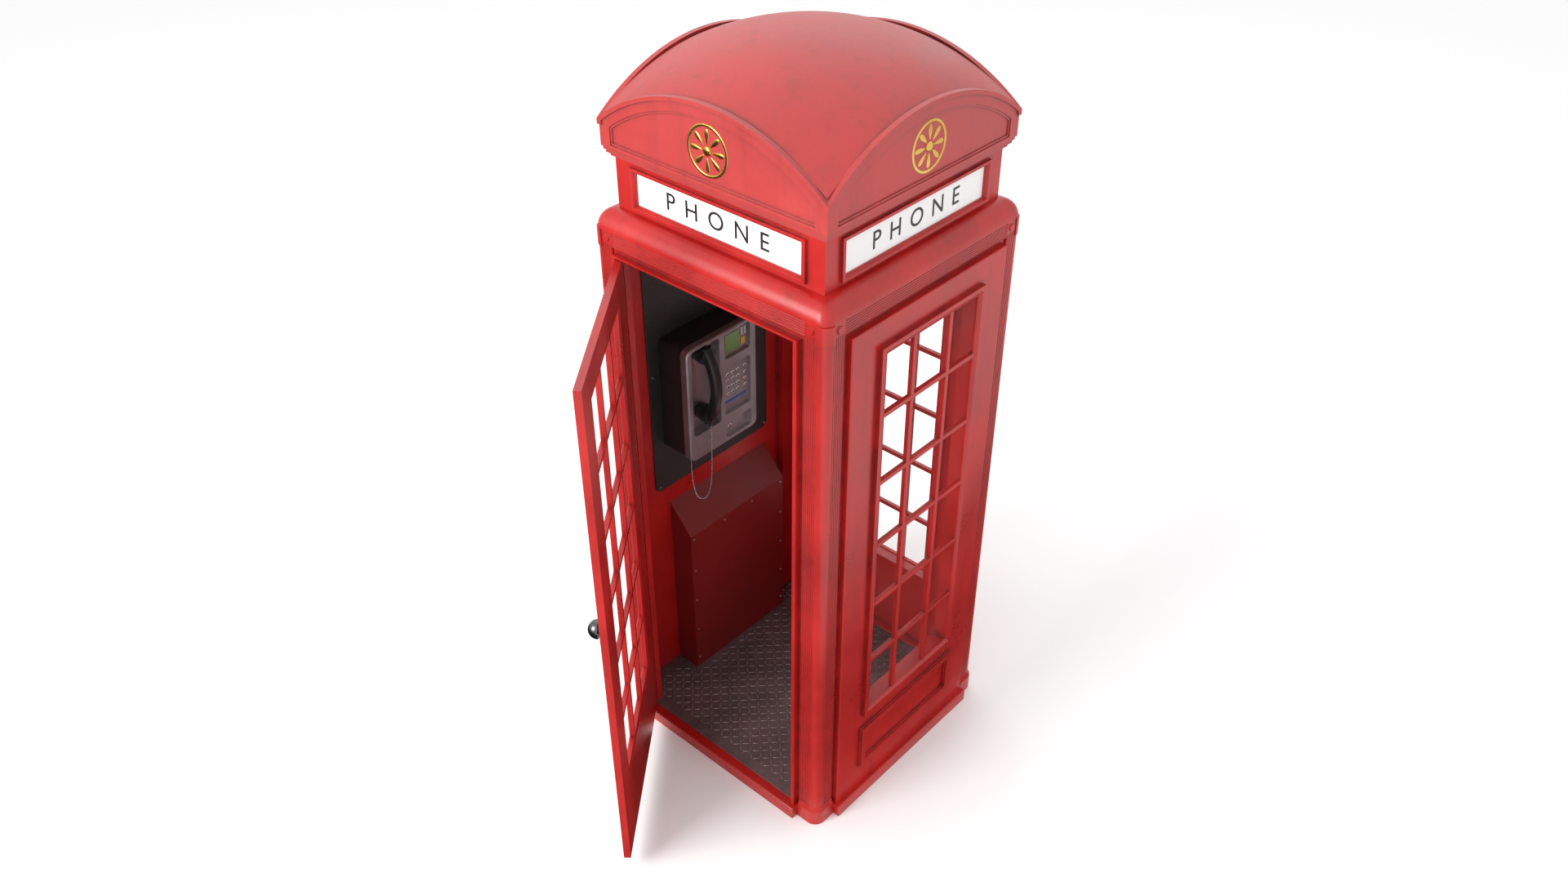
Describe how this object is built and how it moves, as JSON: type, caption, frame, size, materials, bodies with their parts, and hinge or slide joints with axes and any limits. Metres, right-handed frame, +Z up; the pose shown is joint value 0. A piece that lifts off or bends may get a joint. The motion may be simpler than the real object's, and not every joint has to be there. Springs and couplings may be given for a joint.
{
  "type": "telephone booth",
  "caption": "Square cast-iron street telephone booth with domed roof, lit sign boxes, glazed walls, a swinging door and a wall-mounted coin payphone inside.",
  "frame": {"origin": "centre of the square foot of the sill, on the pavement", "axes": "+Z up; the door is on the -Y side, the payphone hangs on the inside of the -X wall and faces +X"},
  "size_m": [0.93, 1.4334, 2.46],
  "materials": {
    "red_casting": "satin gloss paint over cast iron, grime in the grooves",
    "dark_sill": "dark worn paint",
    "screed": "dull floor filling inside the sill",
    "tread_plate": "worn raised-pattern tread plate",
    "clear_glass": "clear, polished",
    "opal_glass": "white opal, satin",
    "white_enamel": "white enamel",
    "black_board": "black with fine pale flecks",
    "bright_steel": "plain bright steel",
    "red_sheet": "satin paint on folded sheet",
    "black_sheet": "black satin paint",
    "silver_metal": "fine silver paint with a soft sheen",
    "green_display": "green display window",
    "yellow_plastic": "yellow moulding",
    "cord_steel": "interlocked steel hose",
    "black_plastic": "black moulded plastic, slightly glossy",
    "hinge_paint": "steel painted like the door",
    "gilding": "gold leaf on the pediment rosettes",
    "blue_strip": "blue printed strip under the keys",
    "chrome": "bright plated"
  },
  "bodies": {
    "kiosk": {"base_sill": "dark_sill", "floor_slab": "screed", "floor_plate": "tread_plate", "corner_post_front_right": "red_casting", "corner_post_rear_right": "red_casting", "corner_post_rear_left": "red_casting", "corner_post_front_left": "red_casting", "panel_right": "red_casting", "panel_rear": "red_casting", "panel_left": "red_casting", "glazing_bars_right": "red_casting", "glazing_bars_rear": "red_casting", "glass_right": "clear_glass", "glass_rear": "clear_glass", "door_frame": "red_casting", "cornice": "red_casting", "sign_box": "red_casting", "sign_glasses": "opal_glass", "roof": "red_casting", "ceiling_panel": "red_casting", "lamp_batten": "white_enamel", "lamp_tube": "opal_glass", "backboard": "black_board", "fixing_screws": "bright_steel", "equipment_cabinet": "red_sheet", "phone_case": "black_sheet", "phone_fascia": "silver_metal", "display_window": "green_display", "coin_slot_plate": "bright_steel", "slot_insert": "yellow_plastic", "handset_cord": "cord_steel", "cord_gland": "black_plastic", "hinge_leaves_fixed": "hinge_paint", "hinge_pins": "bright_steel"},
    "door": {"door_leaf": "red_casting", "door_glazing_bars": "red_casting", "door_glass": "clear_glass", "door_knob": "chrome", "hinge_leaves_moving": "hinge_paint"},
    "handset": {"handset_shell": "black_plastic", "handset_caps": "black_plastic"},
    "hook_switch": {"hook_switch": "bright_steel"},
    "coin_button": {"coin_return_button": "bright_steel"},
    "coin_flap": {"coin_return_flap": "silver_metal"},
    "keypad_row1_column1": {"key_row1_column1": "chrome"},
    "keypad_row1_column2": {"key_row1_column2": "chrome"},
    "keypad_row1_column3": {"key_row1_column3": "chrome"},
    "keypad_row1_column4": {"key_row1_column4": "chrome"},
    "keypad_row2_column1": {"key_row2_column1": "chrome"},
    "keypad_row2_column2": {"key_row2_column2": "chrome"},
    "keypad_row2_column3": {"key_row2_column3": "chrome"},
    "keypad_row2_column4": {"key_row2_column4": "chrome"},
    "keypad_row3_column1": {"key_row3_column1": "chrome"},
    "keypad_row3_column2": {"key_row3_column2": "chrome"},
    "keypad_row3_column3": {"key_row3_column3": "chrome"},
    "keypad_row3_column4": {"key_row3_column4": "chrome"},
    "keypad_row4_column1": {"key_row4_column1": "chrome"},
    "keypad_row4_column2": {"key_row4_column2": "chrome"},
    "keypad_row4_column3": {"key_row4_column3": "chrome"},
    "keypad_row4_column4": {"key_row4_column4": "chrome"}
  },
  "joints": [
    {"name": "door_hinge", "type": "hinge", "parent": "kiosk", "child": "door", "pos_m": [-0.335, -0.449, 0.945], "axis": [0, 0, -1], "range_deg": [-51, 44]},
    {"name": "handset_lift", "type": "slide", "parent": "kiosk", "child": "handset", "axis": [1, 0, 0], "range_m": [0, 0.06]},
    {"name": "hook_switch_slide", "type": "slide", "parent": "kiosk", "child": "hook_switch", "axis": [1, 0, 0], "range_m": [0, 0.006]},
    {"name": "coin_button_press", "type": "slide", "parent": "kiosk", "child": "coin_button", "axis": [-1, 0, 0], "range_m": [0, 0.003], "stiffness_N_per_m": 400, "springref_m": -0.002},
    {"name": "coin_flap_hinge", "type": "hinge", "parent": "kiosk", "child": "coin_flap", "pos_m": [-0.31075, 0.015, 1.08], "axis": [0, 1, 0], "range_deg": [0, 35]},
    {"name": "keypad_row1_column1_press", "type": "slide", "parent": "kiosk", "child": "keypad_row1_column1", "axis": [-1, 0, 0], "range_m": [0, 0.0025], "stiffness_N_per_m": 400, "springref_m": -0.0015},
    {"name": "keypad_row1_column2_press", "type": "slide", "parent": "kiosk", "child": "keypad_row1_column2", "axis": [-1, 0, 0], "range_m": [0, 0.0025], "stiffness_N_per_m": 400, "springref_m": -0.0015},
    {"name": "keypad_row1_column3_press", "type": "slide", "parent": "kiosk", "child": "keypad_row1_column3", "axis": [-1, 0, 0], "range_m": [0, 0.0025], "stiffness_N_per_m": 400, "springref_m": -0.0015},
    {"name": "keypad_row1_column4_press", "type": "slide", "parent": "kiosk", "child": "keypad_row1_column4", "axis": [-1, 0, 0], "range_m": [0, 0.0025], "stiffness_N_per_m": 400, "springref_m": -0.0015},
    {"name": "keypad_row2_column1_press", "type": "slide", "parent": "kiosk", "child": "keypad_row2_column1", "axis": [-1, 0, 0], "range_m": [0, 0.0025], "stiffness_N_per_m": 400, "springref_m": -0.0015},
    {"name": "keypad_row2_column2_press", "type": "slide", "parent": "kiosk", "child": "keypad_row2_column2", "axis": [-1, 0, 0], "range_m": [0, 0.0025], "stiffness_N_per_m": 400, "springref_m": -0.0015},
    {"name": "keypad_row2_column3_press", "type": "slide", "parent": "kiosk", "child": "keypad_row2_column3", "axis": [-1, 0, 0], "range_m": [0, 0.0025], "stiffness_N_per_m": 400, "springref_m": -0.0015},
    {"name": "keypad_row2_column4_press", "type": "slide", "parent": "kiosk", "child": "keypad_row2_column4", "axis": [-1, 0, 0], "range_m": [0, 0.0025], "stiffness_N_per_m": 400, "springref_m": -0.0015},
    {"name": "keypad_row3_column1_press", "type": "slide", "parent": "kiosk", "child": "keypad_row3_column1", "axis": [-1, 0, 0], "range_m": [0, 0.0025], "stiffness_N_per_m": 400, "springref_m": -0.0015},
    {"name": "keypad_row3_column2_press", "type": "slide", "parent": "kiosk", "child": "keypad_row3_column2", "axis": [-1, 0, 0], "range_m": [0, 0.0025], "stiffness_N_per_m": 400, "springref_m": -0.0015},
    {"name": "keypad_row3_column3_press", "type": "slide", "parent": "kiosk", "child": "keypad_row3_column3", "axis": [-1, 0, 0], "range_m": [0, 0.0025], "stiffness_N_per_m": 400, "springref_m": -0.0015},
    {"name": "keypad_row3_column4_press", "type": "slide", "parent": "kiosk", "child": "keypad_row3_column4", "axis": [-1, 0, 0], "range_m": [0, 0.0025], "stiffness_N_per_m": 400, "springref_m": -0.0015},
    {"name": "keypad_row4_column1_press", "type": "slide", "parent": "kiosk", "child": "keypad_row4_column1", "axis": [-1, 0, 0], "range_m": [0, 0.0025], "stiffness_N_per_m": 400, "springref_m": -0.0015},
    {"name": "keypad_row4_column2_press", "type": "slide", "parent": "kiosk", "child": "keypad_row4_column2", "axis": [-1, 0, 0], "range_m": [0, 0.0025], "stiffness_N_per_m": 400, "springref_m": -0.0015},
    {"name": "keypad_row4_column3_press", "type": "slide", "parent": "kiosk", "child": "keypad_row4_column3", "axis": [-1, 0, 0], "range_m": [0, 0.0025], "stiffness_N_per_m": 400, "springref_m": -0.0015},
    {"name": "keypad_row4_column4_press", "type": "slide", "parent": "kiosk", "child": "keypad_row4_column4", "axis": [-1, 0, 0], "range_m": [0, 0.0025], "stiffness_N_per_m": 400, "springref_m": -0.0015}
  ],
  "couplings": [
    {"joint": "hook_switch_slide", "follows": "handset_lift", "ratio": 0.1}
  ]
}
